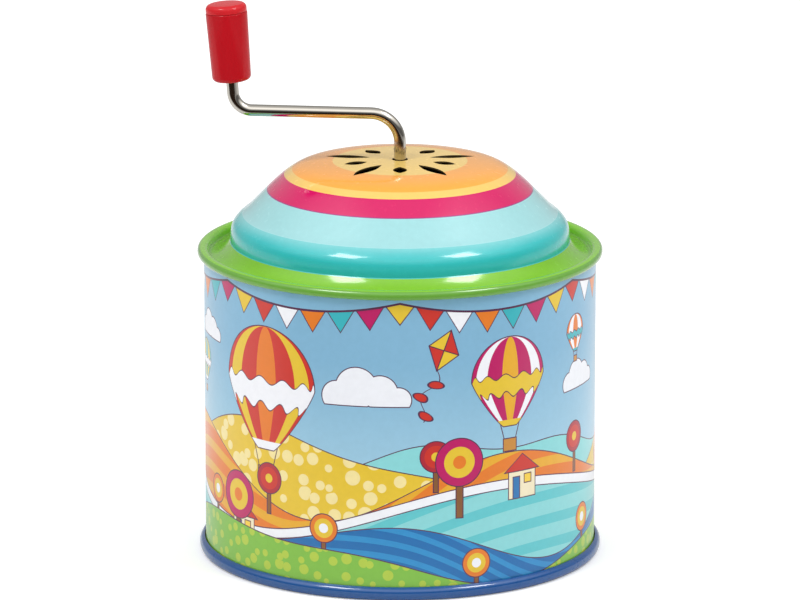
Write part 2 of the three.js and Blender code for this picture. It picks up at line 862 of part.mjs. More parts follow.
musicBox.add(
  piece('can_body', canBody(), printedTin),
  piece('dome_lid', domeLid(), printedLid),
  piece('base_cover', baseCover(), printedBase),
  piece('bedplate', bedplate(), castZinc),
  piece('post_front', bearingPost(frontPost), bracketSteel),
  piece('post_rear', bearingPost(rearPost), bracketSteel),
  piece('worm_bracket', wormBracket(), bracketSteel),
  piece('comb', comb(), springSteel),
  piece('drum_shell', drumShell(), brass),
  piece('drum_cap_front', drumCap(drumStart, drumStart + drumCapThickness), brass),
  piece('drum_cap_rear', drumCap(drumEnd - drumCapThickness, drumEnd), brass),
  piece('worm_wheel', wormWheel(), castZinc),
  piece('worm', worm(), brass),
  piece('crank_wire', crankWire(stations), platedSteel),
  piece('shaft_clip', shaftClip(), bracketSteel),
);

const axleLow = frontPost - axleStub;
const axleHigh = rearPost + postThickness + axleStub;
const axle = crossRod(axleRadius, axleLow, axleHigh, shaftSides, drumX, drumAxisHeight);
musicBox.add(piece('drum_axle', axle, springSteel));

baseScrewPlaces.forEach(([x, y], index) => {
  const screw = slottedScrew(baseScrew, 0, 0, 0).rotate([180, 0, 0]).translate([x, y, baseRecess]);
  musicBox.add(piece(`base_screw_${index + 1}`, screw, springSteel));
});
[frontPost, rearPost].forEach((post, index) => {
  const screw = slottedScrew(postScrew, drumX, post - postScrewInset, bedTop + footThickness);
  musicBox.add(piece(`post_screw_${index + 1}`, screw, springSteel));
});
[-bracketScrewY, bracketScrewY].forEach((y, index) => {
  const screw = slottedScrew(bracketScrew, bracketFootMiddle, y, bedTop + bracketThickness);
  musicBox.add(piece(`bracket_screw_${index + 1}`, screw, springSteel));
});
combScrewYs.forEach((y, index) => {
  const screw = slottedScrew(combScrew, combScrewX, y, combUnderside + combThickness);
  musicBox.add(piece(`comb_screw_${index + 1}`, screw, springSteel));
});

const gripAxis = new THREE.Group();
gripAxis.position.set(pinFoot.x, 0, pinFoot.z);
gripAxis.rotation.y = -pinLean;
gripAxis.add(
  piece('grip_sleeve', gripSleeve(), redPlastic),
  piece('grip_cap', gripCap(), redPlastic),
  piece('grip_nut', gripNut(), springSteel),
);
musicBox.add(gripAxis);

export default musicBox;
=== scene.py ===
import json
import math
from functools import partial

import bpy
from mathutils import Matrix, Vector


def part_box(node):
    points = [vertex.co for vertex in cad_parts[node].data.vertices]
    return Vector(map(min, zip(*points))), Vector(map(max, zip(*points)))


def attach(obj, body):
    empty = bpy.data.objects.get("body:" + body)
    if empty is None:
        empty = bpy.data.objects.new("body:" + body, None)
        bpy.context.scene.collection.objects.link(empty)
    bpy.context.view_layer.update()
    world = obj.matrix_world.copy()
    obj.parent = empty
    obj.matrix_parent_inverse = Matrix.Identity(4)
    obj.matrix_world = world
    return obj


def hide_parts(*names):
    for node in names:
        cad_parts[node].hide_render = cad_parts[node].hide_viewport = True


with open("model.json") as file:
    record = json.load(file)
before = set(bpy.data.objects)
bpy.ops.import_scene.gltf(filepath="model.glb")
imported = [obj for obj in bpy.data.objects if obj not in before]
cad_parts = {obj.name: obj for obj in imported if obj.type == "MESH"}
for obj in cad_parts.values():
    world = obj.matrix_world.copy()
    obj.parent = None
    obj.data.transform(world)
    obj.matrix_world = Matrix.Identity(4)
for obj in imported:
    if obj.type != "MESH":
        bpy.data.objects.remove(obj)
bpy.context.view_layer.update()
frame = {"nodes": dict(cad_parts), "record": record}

# A hand-cranked music box in a round tin. Lengths are in metres, written as millimetres times mm,
# and the camera's side of the tin is -Y.
mm = 0.001


# Camera: a long lens a little over a metre away, looking slightly down on the tin from its front.
camera_target = Vector((0, 0, 47.17 * mm))
camera_distance = 1125.5 * mm
camera_tilt = math.radians(13.83)
camera_data = bpy.data.cameras.new("camera")
camera_data.sensor_width = 36
camera_data.lens = 273.1
camera = bpy.data.objects.new("camera", camera_data)
back = Vector((0, -math.cos(camera_tilt), math.sin(camera_tilt)))
camera.location = camera_target + camera_distance * back
camera.rotation_euler = (math.pi / 2 - camera_tilt, 0, 0)
bpy.context.scene.collection.objects.link(camera)
bpy.context.scene.camera = camera
bpy.context.scene.view_settings.view_transform = "Standard"


# Studio: a white table top, a pale room and two soft boxes high at the sides. Gloss sees the table
# dark further in front, and the room dark low down, bright high in front and dimmer behind, which
# gives the wire its streaks. Under the tin the table lets light through, for a look from below.
def linear(code):
    """Linear colour of an sRGB hex code."""
    shares = [int(code[at:at + 2], 16) / 255 for at in (0, 2, 4)]
    toe, slope, lift, power = 0.04045, 12.92, 0.055, 2.4
    return [s / slope if s <= toe else ((s + lift) / (1 + lift)) ** power for s in shares] + [1]


def add_node(tree, kind, *values, named=(), stops=(), **settings):
    """Adds a node with its settings, and gives its inputs, in order or by name, values or links."""
    kind, _, operation = kind.partition(" ")
    node = tree.nodes.new("ShaderNode" + kind)
    if operation:
        node.operation = operation
    for name, value in settings.items():
        setattr(node, name, value)
    for index, (place, colour) in enumerate(stops):
        node.color_ramp.interpolation = "CONSTANT"
        elements = node.color_ramp.elements
        element = elements[index] if index < 2 else elements.new(place)
        element.position = place
        element.color = linear(colour)
    inputs = list(zip([socket for socket in node.inputs if socket.enabled], values))
    inputs += [(node.inputs[name], value) for name, value in dict(named).items()]
    for socket, value in inputs:
        if isinstance(value, bpy.types.NodeSocket):
            tree.links.new(value, socket)
        elif value is not None:
            socket.default_value = value
    return next((socket for socket in node.outputs if socket.enabled), None)


def new_finish(name):
    """An empty material, and the function that adds a node to it."""
    material = bpy.data.materials.new(name)
    material.use_nodes = True
    material.node_tree.nodes.clear()
    return material, partial(add_node, material.node_tree)


floor_side = 12000 * mm
floor_mottle = 167 * mm
floor_white, floor_pale = "e9e9e9", "ebebeb"
front_dark = "2a2019"
dark_from, dark_past = -50 * mm, -120 * mm
dark_inside, dark_outside = 300 * mm, 600 * mm
dark_side_share = 0.45
glow_inside, glow_outside = 100 * mm, 700 * mm
floor_glow, far_glow = 0.3, 0.6
covered_radius = 35 * mm
bpy.ops.object.select_all(action="DESELECT")
bpy.ops.mesh.primitive_plane_add(size=floor_side)
floor = bpy.context.object
floor.name = "table_top"
table_finish, add = new_finish("matt_table_top")
rays = add("LightPath").node.outputs
seen = add("Math MAXIMUM", rays["Is Camera Ray"], rays["Is Transmission Ray"])
mottle = add("TexNoise", named={"Scale": 1 / floor_mottle, "Detail": 3.0})
shade = add("Mix", mottle, linear(floor_white), linear(floor_pale), data_type="RGBA")
place = add("TexCoord").node.outputs["Object"]
aside, depth, _ = add("SeparateXYZ", place).node.outputs
ahead = add("MapRange", depth, dark_past, dark_from, 1.0, 0.0)
ahead = add("Math MULTIPLY", ahead, rays["Is Glossy Ray"])
aside = add("Math ABSOLUTE", aside)
aside = add("MapRange", aside, dark_inside, dark_outside, 1.0, dark_side_share)
ahead = add("Math MULTIPLY", ahead, aside)
shade = add("Mix", ahead, shade, linear(front_dark), data_type="RGBA")
matt = add("BsdfDiffuse", shade)
away = add("VectorMath LENGTH", place)
away = add("MapRange", away, glow_inside, glow_outside, floor_glow, far_glow)
glow = add("Emission", linear("ffffff"), add("Math MULTIPLY", seen, away))
top = add("AddShader", matt, glow)
under = add("Math LESS_THAN", add("VectorMath LENGTH", place), covered_radius)
under = add("Math MAXIMUM", under, add("NewGeometry").node.outputs["Backfacing"])
add("OutputMaterial", add("MixShader", under, top, add("BsdfTransparent")))
floor.data.materials.append(table_finish)

# The room's levels, and where one passes into the next, in the height or the depth of a direction
room_low, room_high, room_back = 0.7, 0.52, 0.6
shine_low, shine_high, shine_over, shine_back = 0.15, 1.75, 0.9, 0.42
low_edge = (0.25, 0.65)
over_edge = (0.88, 0.97)
back_edge = (-0.1, 0.5)
room_edge = (-0.1, 0.9)
world = bpy.data.worlds.new("studio")
bpy.context.scene.world = world
world.use_nodes = True
world.node_tree.nodes.clear()
add = partial(add_node, world.node_tree)
rays = add("LightPath").node.outputs
_, depth, height = add("SeparateXYZ", add("TexCoord")).node.outputs
level = add("MapRange", height, 0.0, 1.0, room_low, room_high)
level = add("Math ADD", level, add("MapRange", depth, *room_edge, 0.0, room_back))
shine = add("MapRange", height, *over_edge, shine_high, shine_over)
shine = add("MapRange", height, *low_edge, shine_low, shine)
shine = add("MapRange", depth, *back_edge, shine, shine_back)
level = add("Mix", rays["Is Glossy Ray"], level, shine)
room = add("Background", linear("ffffff"), level)
backdrop = add("Background", linear("ffffff"), 1.0)
add("OutputWorld", add("MixShader", rays["Is Camera Ray"], room, backdrop))

box_distance = 900 * mm
box_size = 260 * mm


def soft_box(name, side, up, watts):
    """An area lamp at a bearing from the front and a height angle, turned to the tin."""
    lamp = bpy.data.lights.new(name, "AREA")
    lamp.shape = "SQUARE"
    lamp.size = box_size
    lamp.energy = watts
    holder = bpy.data.objects.new(name, lamp)
    side, up = math.radians(side), math.radians(up)
    out = Vector((math.sin(side) * math.cos(up), -math.cos(side) * math.cos(up), math.sin(up)))
    holder.location = camera_target + box_distance * out
    holder.rotation_euler = out.to_track_quat("Z", "Y").to_euler()
    bpy.context.scene.collection.objects.link(holder)


soft_box("left_box", side=-49, up=53, watts=2.8)
soft_box("right_box", side=58, up=52, watts=2.9)


# Can body: printed tinplate rolled into a tube and lapped at the back, both its ends turned out as
# flanges for the lid and the base. Its outside is lithographed and varnished, its inside lacquered.
sheet = 0.4 * mm
can_low, can_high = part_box("can_body")
flange_width = 0.45 * mm
seam_width = 4 * mm
seam_step = 0.2 * mm
can_radius = can_high.x - flange_width
seam_foot = 2.8 * mm
seam_head = 56.25 * mm
turn_steps = 160
weld = 0.002 * mm


def arc(x, z, radius, start, end, steps):
    """Points on a round in the outline's plane, angles in degrees from outward."""
    angles = [math.radians(start + (end - start) * step / steps) for step in range(steps + 1)]
    return [(x + radius * math.cos(a), z + radius * math.sin(a)) for a in angles]


def lathe(name, outline, steps, closed):
    """Spins an outline of [radius, height] points round +Z: one point drawn out edge by edge."""
    bpy.ops.object.select_all(action="DESELECT")
    bpy.ops.mesh.primitive_plane_add(size=mm, location=(outline[0][0], 0, outline[0][1]))
    made = bpy.context.object
    made.name = name
    bpy.ops.object.mode_set(mode="EDIT")
    bpy.ops.mesh.select_mode(type="VERT")
    bpy.ops.mesh.merge(type="CENTER")
    path = outline + outline[:1] if closed else outline
    for (x, z), (next_x, next_z) in zip(path, path[1:]):
        step = (next_x - x, 0, next_z - z)
        bpy.ops.mesh.extrude_region_move(TRANSFORM_OT_translate={"value": step})
    bpy.ops.mesh.select_all(action="SELECT")
    bpy.ops.mesh.remove_doubles(threshold=weld)
    bpy.ops.mesh.spin(steps=steps, angle=2 * math.pi, center=(0, 0, 0), axis=(0, 0, 1))
    bpy.ops.mesh.select_all(action="SELECT")
    bpy.ops.mesh.remove_doubles(threshold=weld)
    bpy.ops.mesh.normals_make_consistent(inside=False)
    bpy.ops.object.mode_set(mode="OBJECT")
    bpy.ops.object.transform_apply(location=True)
    return made


def pick(made, test):
    """Selects the faces whose middle and normal pass a test, and nothing else."""
    bpy.ops.object.mode_set(mode="EDIT")
    bpy.ops.mesh.select_mode(type="FACE")
    bpy.ops.mesh.select_all(action="DESELECT")
    bpy.ops.object.mode_set(mode="OBJECT")
    for face in made.data.polygons:
        face.select = test(face.center, face.normal)
    bpy.ops.object.mode_set(mode="EDIT")


def only(made):
    """Selects one piece and makes it active, with everything else deselected."""
    bpy.ops.object.select_all(action="DESELECT")
    made.select_set(True)
    bpy.context.view_layer.objects.active = made


def smooth(made, degrees):
    """Smooth shading across edges flatter than an angle."""
    only(made)
    bpy.ops.object.shade_smooth_by_angle(angle=math.radians(degrees))


def dress(made, material, hidden=None, test=None):
    """Gives a piece its material, and the faces that pass a test the hidden one."""
    made.data.materials.clear()
    made.data.materials.append(material)
    if hidden:
        made.data.materials.append(hidden)
        for face in made.data.polygons:
            face.material_index = int(test(face.center, face.normal))


flange_round = 0.12 * mm
flange_radius = can_radius + flange_width
can_outline = [(can_radius - sheet, can_low.z)]
can_outline += arc(flange_radius - flange_round, can_low.z + flange_round, flange_round, -90, 0, 3)
can_outline += arc(flange_radius - flange_round, can_low.z + sheet - flange_round, flange_round, 0, 90, 3)
can_outline += arc(can_radius + flange_round, can_low.z + sheet + flange_round, flange_round, 270, 180, 3)
can_outline += [(can_radius, seam_foot), (can_radius, (seam_foot + seam_head) / 2), (can_radius, seam_head)]
can_outline += arc(can_radius + flange_round, can_high.z - sheet - flange_round, flange_round, 180, 90, 3)
can_outline += arc(flange_radius - flange_round, can_high.z - sheet + flange_round, flange_round, -90, 0, 3)
can_outline += arc(flange_radius - flange_round, can_high.z - flange_round, flange_round, 0, 90, 3)
can_outline += [(can_radius - sheet, can_high.z)]
can = lathe("can_wall", can_outline, turn_steps, closed=True)


def on_seam(middle, normal):
    """Outer wall at the back, where the sheet's two edges lap."""
    across = abs(middle.x) < seam_width / 2 and middle.y > 0
    return across and normal.y > 0.9 and seam_foot < middle.z < seam_head


pick(can, on_seam)
bpy.ops.mesh.extrude_region_shrink_fatten(TRANSFORM_OT_shrink_fatten={"value": seam_step})
bpy.ops.object.mode_set(mode="OBJECT")
smooth(can, 30)

# Lithographed tinplate: flat opaque inks with a thin dark key line, under a stoved varnish. The eye
# gets even bright colour, a clear gloss over it, and a very slight ripple of the rolled sheet.
body_print, ink = new_finish("lithographed_tinplate")
key_line = "5a3450"
line_width = 0.2
wrap = 2 * math.pi * can_radius / mm
place = ink("TexCoord").node.outputs["Object"]
x, y, z = ink("SeparateXYZ", place).node.outputs
angle = ink("Math ARCTAN2", x, ink("Math MULTIPLY", y, -1.0))
turn = ink("Math DIVIDE", angle, 2 * math.pi)
height = ink("Math DIVIDE", z, mm)
arc_length = ink("Math MULTIPLY", turn, wrap)
flat = ink("CombineXYZ", arc_length, height)


def cells(count, shift):
    """Splits the wrap into equal cells: mm from a cell's middle, the cell's number, its own turn."""
    spot = ink("Math MULTIPLY_ADD", turn, float(count), 0.5 - shift)
    number = ink("Math FLOOR", spot)
    share = ink("Math SUBTRACT", spot, number)
    across = ink("Math MULTIPLY_ADD", share, wrap / count, -wrap / count / 2)
    middle = ink("Math DIVIDE", ink("Math ADD", number, shift), float(count))
    return across, ink("Math FLOORED_MODULO", number, float(count)), middle


def lay(picture, mask, colour):
    """Prints a colour, given as a hex code or as a socket, over the picture where the mask is 1."""
    colour = linear(colour) if isinstance(colour, str) else colour
    return ink("Mix", mask, picture, colour, data_type="RGBA")


def outlined(picture, reach, colour):
    """Prints a shape, given by its distance outside the edge in mm, with the key line round it."""
    picture = lay(picture, ink("Math LESS_THAN", reach, line_width), key_line)
    return lay(picture, ink("Math LESS_THAN", reach, 0.0), colour)


def disc(point, x, y, radius):
    """Distance outside a disc."""
    away = ink("VectorMath DISTANCE", point, (x, y, 0.0))
    return ink("Math SUBTRACT", away, radius)


def box_reach(across, rise, half_width, low, high):
    """Distance outside an upright box."""
    aside = ink("Math SUBTRACT", ink("Math ABSOLUTE", across), half_width)
    off = ink("Math ABSOLUTE", ink("Math SUBTRACT", rise, (low + high) / 2))
    return ink("Math MAXIMUM", aside, ink("Math SUBTRACT", off, (high - low) / 2))


def clouds(picture, count, shift, middle, size):
    """White clouds: four puffs on a level base, one cloud in each cell."""
    across, _, _ = cells(count, shift)
    rise = ink("Math SUBTRACT", height, middle)
    point = ink("CombineXYZ", across, rise)
    reach = disc(point, -0.95 * size, -0.12 * size, 0.5 * size)
    for puff in ((-0.3, 0.18, 0.68), (0.48, 0.05, 0.56), (1.08, -0.18, 0.4)):
        reach = ink("Math MINIMUM", reach, disc(point, *[share * size for share in puff]))
    base = ink("Math SUBTRACT", -0.4 * size, rise)
    return outlined(picture, ink("Math MAXIMUM", reach, base), "eef0f6")


def balloons(picture, count, shift, middle, size, gores, band):
    """Striped hot-air balloons: basket and ropes, then the envelope with its gores and a band."""
    across, _, _ = cells(count, shift)
    rise = ink("Math SUBTRACT", height, middle)
    basket = box_reach(across, rise, 0.17 * size, -1.72 * size, -1.44 * size)
    picture = outlined(picture, basket, "c98b3c")
    spread = ink("Math MULTIPLY_ADD", rise, 0.28, 0.56 * size)
    rope = ink("Math ABSOLUTE", ink("Math SUBTRACT", ink("Math ABSOLUTE", across), spread))
    hung = box_reach(across, rise, size, -1.44 * size, -size)
    rope = ink("Math MAXIMUM", ink("Math SUBTRACT", rope, line_width / 2), hung)
    picture = lay(picture, ink("Math LESS_THAN", rope, 0.0), key_line)
    below = ink("Math MINIMUM", rise, 0.0)
    squeeze = ink("Math MULTIPLY_ADD", below, 0.42 / size, 1.0)
    broad = ink("Math DIVIDE", across, squeeze)
    tall = ink("Math MULTIPLY_ADD", below, -0.16, rise)
    reach = disc(ink("CombineXYZ", broad, tall), 0.0, 0.0, size)
    reach = ink("Math MAXIMUM", reach, ink("Math SUBTRACT", -1.12 * size, rise))
    square = ink("Math MULTIPLY_ADD", ink("Math MULTIPLY", tall, -1.0), tall, size * size)
    side = ink("Math ARCSINE", ink("Math DIVIDE", broad, ink("Math SQRT", square)))
    gore = ink("Math MULTIPLY_ADD", side, 1 / math.pi, 0.5)
    step = 1 / len(gores)
    stops = [(index * step, colour) for index, colour in enumerate(gores)]
    envelope = ink("ValToRGB", gore, stops=stops)
    scallop = ink("Math MULTIPLY", ink("Math SINE", ink("Math MULTIPLY", side, 12.0)), 0.06 * size)
    level = ink("Math ABSOLUTE", ink("Math ADD", ink("Math ADD", tall, 0.12 * size), scallop))
    envelope = lay(envelope, ink("Math LESS_THAN", level, 0.2 * size), key_line)
    envelope = lay(envelope, ink("Math LESS_THAN", level, 0.2 * size - line_width), band)
    mouth = ink("Math LESS_THAN", rise, -0.98 * size)
    return outlined(picture, reach, lay(envelope, mouth, band))


def kites(picture, count, shift, middle, size, lean, first, second):
    """Four-square kites with a waving tail of bows."""
    across, _, _ = cells(count, shift)
    rise = ink("Math SUBTRACT", height, middle)
    point = ink("CombineXYZ", across, rise)
    point = ink("VectorRotate", point, None, math.radians(lean), rotation_type="Z_AXIS")
    across, rise, _ = ink("SeparateXYZ", point).node.outputs
    wave = ink("Math SINE", ink("Math MULTIPLY", rise, 3.2 / size))
    curve = ink("Math MULTIPLY_ADD", wave, -0.3 * size, across)
    tail = box_reach(curve, rise, line_width / 2, -3.6 * size, -size)
    picture = lay(picture, ink("Math LESS_THAN", tail, 0.0), key_line)
    beat = ink("Math PINGPONG", ink("Math ADD", rise, 0.1 * size), 0.4 * size)
    bow = ink("VectorMath LENGTH", ink("CombineXYZ", ink("Math MULTIPLY", curve, 0.55), beat))
    bow = ink("Math SUBTRACT", bow, 0.17 * size)
    bow = ink("Math MAXIMUM", bow, box_reach(curve, rise, size, -3.5 * size, -1.3 * size))
    picture = outlined(picture, bow, first)
    width, tall = ink("Math ABSOLUTE", across), ink("Math ABSOLUTE", rise)
    reach = ink("Math MULTIPLY_ADD", width, 1.35, ink("Math SUBTRACT", tall, size))
    reach = ink("Math MULTIPLY", reach, 0.6)
    same = ink("Math GREATER_THAN", ink("Math MULTIPLY", across, rise), 0.0)
    spar = ink("Math LESS_THAN", ink("Math MINIMUM", width, tall), line_width / 2)
    sail = lay(lay(linear(second), same, first), spar, key_line)
    return outlined(picture, reach, sail)


def hill_height(where, base, waves):
    """Height of a hill's crest, in mm, at a turn round the can."""
    crest = base
    for size, count, phase in waves:
        wave = ink("Math SINE", ink("Math MULTIPLY_ADD", where, 2 * math.pi * count, phase))
        crest = ink("Math MULTIPLY_ADD", wave, size, crest)
    return crest


def dots(colour, ground, spacing, share):
    """Round spots of mixed sizes, strewn over a field."""
    spots = ink("TexVoronoi", flat, named={"Scale": 1 / spacing, "Randomness": 0.75},
                voronoi_dimensions="2D").node.outputs
    size = ink("Math MULTIPLY_ADD", spots["Color"], share * 0.7, share * 0.45)
    return lay(linear(ground), ink("Math LESS_THAN", spots["Distance"], size), colour)


def rows(colour, ground, crest, spacing, slant):
    """Furrows that follow a field's crest."""
    depth = ink("Math MULTIPLY_ADD", arc_length, slant, ink("Math SUBTRACT", crest, height))
    share = ink("Math FRACT", ink("Math DIVIDE", depth, spacing))
    return lay(linear(ground), ink("Math LESS_THAN", share, 0.42), colour)


def trees(picture, count, shift, ground, size, rings):
    """Round trees with ringed crowns, standing on a hill."""
    across, _, middle = cells(count, shift)
    rise = ink("Math SUBTRACT", height, hill_height(middle, *ground))
    trunk = box_reach(across, rise, 0.13 * size, -0.8 * size, size)
    picture = outlined(picture, trunk, "8a5a34")
    reach = disc(ink("CombineXYZ", across, rise), 0.0, 1.55 * size, size)
    share = ink("Math MULTIPLY_ADD", reach, 1 / size, 1.0)
    crown = ink("ValToRGB", share, stops=rings)
    return outlined(picture, reach, crown)


def houses(picture, count, shift, ground, size, roof):
    """Cottages: a pale wall, a door, a window and a steep roof."""
    across, _, middle = cells(count, shift)
    rise = ink("Math SUBTRACT", height, hill_height(middle, *ground))
    picture = outlined(picture, box_reach(across, rise, size, -0.6 * size, 1.2 * size), "f2e6c4")
    door = box_reach(ink("Math ADD", across, 0.45 * size), rise, 0.22 * size, -0.6 * size, 0.7 * size)
    picture = outlined(picture, door, "2b76b4")
    pane = box_reach(ink("Math SUBTRACT", across, 0.42 * size), rise, 0.24 * size, 0.3 * size, 0.8 * size)
    picture = outlined(picture, pane, "f6d04a")
    slope = ink("Math MULTIPLY_ADD", ink("Math ABSOLUTE", across), 0.8, rise)
    gable = ink("Math SUBTRACT", slope, 2.1 * size)
    eaves = ink("Math SUBTRACT", 1.1 * size, rise)
    return outlined(picture, ink("Math MAXIMUM", gable, eaves), roof)


def bunting(picture, spans, flags, top, sag, drop, colours):
    """A string of pennants hung in swags under the rim."""
    across, _, _ = cells(spans, 0.5)
    share = ink("Math DIVIDE", across, wrap / spans / 2)
    string = ink("Math MULTIPLY_ADD", ink("Math MULTIPLY", share, share), sag, top - sag)
    across, number, _ = cells(flags, 0.0)
    hung = ink("Math SUBTRACT", string, height)
    taper = ink("Math MULTIPLY_ADD", hung, 0.45 * wrap / flags / drop, -0.45 * wrap / flags)
    reach = ink("Math ADD", ink("Math ABSOLUTE", across), taper)
    reach = ink("Math MAXIMUM", reach, ink("Math MULTIPLY", hung, -1.0))
    share = ink("Math FRACT", ink("Math DIVIDE", ink("Math ADD", number, 0.5), float(len(colours))))
    stops = [(index / len(colours), colour) for index, colour in enumerate(colours)]
    picture = outlined(picture, reach, ink("ValToRGB", share, stops=stops))
    cord = ink("Math LESS_THAN", ink("Math ABSOLUTE", hung), line_width)
    return lay(picture, cord, key_line)


sky, pale_sky = "82b4d2", "9cc8df"
red, orange, amber, yellow = "cd372d", "e67d28", "e8ac2d", "e6c337"
magenta, white, navy = "be1e64", "f2f3f8", "1e6eaf"
lime, green, teal, mint = "b4cc46", "82be46", "3cb4be", "8cd6d8"

haze_low, haze_high = 26.0, 44.0
haze = ink("MapRange", height, haze_low, haze_high, 1.0, 0.0)
picture = ink("Mix", haze, linear(sky), linear(pale_sky), data_type="RGBA")
picture = clouds(picture, count=2, shift=-0.055, middle=38.5, size=5.6)
picture = clouds(picture, count=2, shift=-0.41, middle=44.5, size=3.8)
picture = clouds(picture, count=2, shift=0.36, middle=36.5, size=4.2)

# Each hill: the mean height of its crest in mm, then its waves with their size in mm, count and phase
far_hill = (26.0, ((2.4, 3, 0.4), (1.2, 7, 1.0)))
wheat_hill = (23.5, ((6.5, 2, 3.08), (1.2, 5, 0.0)))
rust_hill = (20.5, ((6.0, 3, 5.9), (1.0, 4, 1.0)))
road_hill = (16.2, ((4.6, 2, 0.2), (1.0, 3, 1.0)))
mint_hill = (14.4, ((4.6, 2, 0.2), (1.0, 3, 1.0)))
blue_hill = (9.4, ((4.0, 3, 2.0), (0.8, 5, 0.5)))
green_hill = (6.6, ((4.2, 2, 3.4), (1.0, 5, 2.0)))


def hill(picture, ground, field):
    """Prints a hill over the picture, its field a hex code, a socket or a function of the crest."""
    crest = hill_height(turn, *ground)
    reach = ink("Math SUBTRACT", height, crest)
    return outlined(picture, reach, field(crest) if callable(field) else field)


picture = hill(picture, far_hill, mint)
wheat = dots("f4e2a0", yellow, spacing=3.4, share=0.4)
picture = hill(picture, wheat_hill, wheat)
picture = balloons(picture, count=2, shift=-0.235, middle=38.0, size=10.8,
                   gores=(red, yellow, red, orange, red, yellow, red), band=white)
picture = hill(picture, rust_hill, partial(rows, amber, orange, spacing=4.2, slant=0.25))
picture = trees(picture, count=7, shift=0.20, ground=rust_hill, size=2.8,
                rings=((0.0, yellow), (0.3, red), (0.75, "b32d3a")))
picture = hill(picture, road_hill, white)
picture = hill(picture, mint_hill, partial(rows, "62c6cc", mint, spacing=4.6, slant=0.12))
picture = houses(picture, count=4, shift=0.42, ground=mint_hill, size=3.0, roof=red)
picture = trees(picture, count=5, shift=0.24, ground=mint_hill, size=4.4,
                rings=((0.0, orange), (0.28, yellow), (0.66, magenta)))
picture = hill(picture, blue_hill, partial(rows, "2f8fca", navy, spacing=2.6, slant=-0.2))
picture = trees(picture, count=8, shift=0.5, ground=green_hill, size=2.6,
                rings=((0.0, white), (0.34, yellow), (0.7, orange)))
meadow = dots(lime, green, spacing=2.8, share=0.36)
picture = hill(picture, green_hill, meadow)
picture = balloons(picture, count=2, shift=0.185, middle=40.0, size=7.8,
                   gores=(magenta, white, magenta, amber, magenta, white, magenta), band=yellow)
picture = balloons(picture, count=2, shift=-0.44, middle=38.0, size=3.6,
                   gores=(teal, yellow, teal, yellow, teal), band=white)
picture = balloons(picture, count=2, shift=0.345, middle=45.5, size=3.2,
                   gores=(orange, white, orange, white, orange), band=teal)
picture = kites(picture, count=2, shift=0.07, middle=46.5, size=3.8, lean=20.0,
                first=red, second=yellow)
picture = bunting(picture, spans=6, flags=42, top=55.4, sag=2.2, drop=3.8,
                  colours=(yellow, red, white, orange, teal, magenta))

# The sheet under the ink: faint mottle of the print, the mill's level grain and the varnish's orange
# peel. The grain is drawn coarser than the real one, which is too fine to show. Nearly all of a
# noise's values lie in the noise span.
ink_mottle = 1.11 * mm
grain_length = 2 * mm
grain_stretch = 12.0
can_peel = 1.25 * mm
noise_span = (0.3, 0.7)
tone_span, tone_change = (0.35, 0.65), (0.985, 1.015)
mottle = ink("TexNoise", place, named={"Scale": 1 / ink_mottle, "Detail": 3.0})
tone = ink("MapRange", mottle, *tone_span, *tone_change)
picture = ink("VectorMath SCALE", picture, tone)
along = ink("Mapping", place, None, None, (1.0, 1.0, grain_stretch))
grain = ink("TexNoise", along, named={"Scale": 1 / grain_length})
peel = ink("TexNoise", place, named={"Scale": 1 / can_peel, "Detail": 1.0})
gloss = ink("MapRange", grain, *noise_span, 0.28, 0.34)
level = ink("Bump", 0.1, 0.01 * mm, None, grain)
level = ink("Bump", 0.1, 0.02 * mm, None, peel, level)
varnish = {"Base Color": picture, "Roughness": gloss, "Normal": level, "Specular IOR Level": 0.25}
varnish.update({"Coat Weight": 0.5, "Coat Roughness": 0.08, "Coat IOR": 1.5})
ink("OutputMaterial", ink("BsdfPrincipled", named=varnish))

# Lacquered tinplate inside: rolled tin under a thin golden-brown lacquer, its colour drawn darker than the
# real lacquer as painted shade, so that the tin reads dark inside. The eye gets a dull gilt sheen with
# level mill lines in it, which are drawn coarser than the real ones so that they show.
mill_length = 2.5 * mm
mill_stretch = 30.0
lacquer_and_painted_shade, add = new_finish("tinplate_lacquer_and_painted_shade")
place = add("TexCoord").node.outputs["Object"]
along = add("Mapping", place, None, None, (1.0, 1.0, mill_stretch))
mill = add("TexNoise", along, named={"Scale": 1 / mill_length})
# Painted shade: both lacquer colours are darker than the real lacquer
shade = add("Mix", mill, linear("6e5a38"), linear("857048"), data_type="RGBA")
dull = add("MapRange", mill, *noise_span, 0.3, 0.45)
level = add("Bump", 0.3, 0.01 * mm, None, mill)
plate = {"Base Color": shade, "Metallic": 0.8, "Roughness": dull, "Normal": level}
add("OutputMaterial", add("BsdfPrincipled", named=plate))


def inside_can(middle, normal):
    """The wall's inner face and its raw edges."""
    return math.hypot(middle.x, middle.y) < can_radius - sheet / 2


dress(can, body_print, lacquer_and_painted_shade, inside_can)
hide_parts("can_body")
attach(can, "tin")


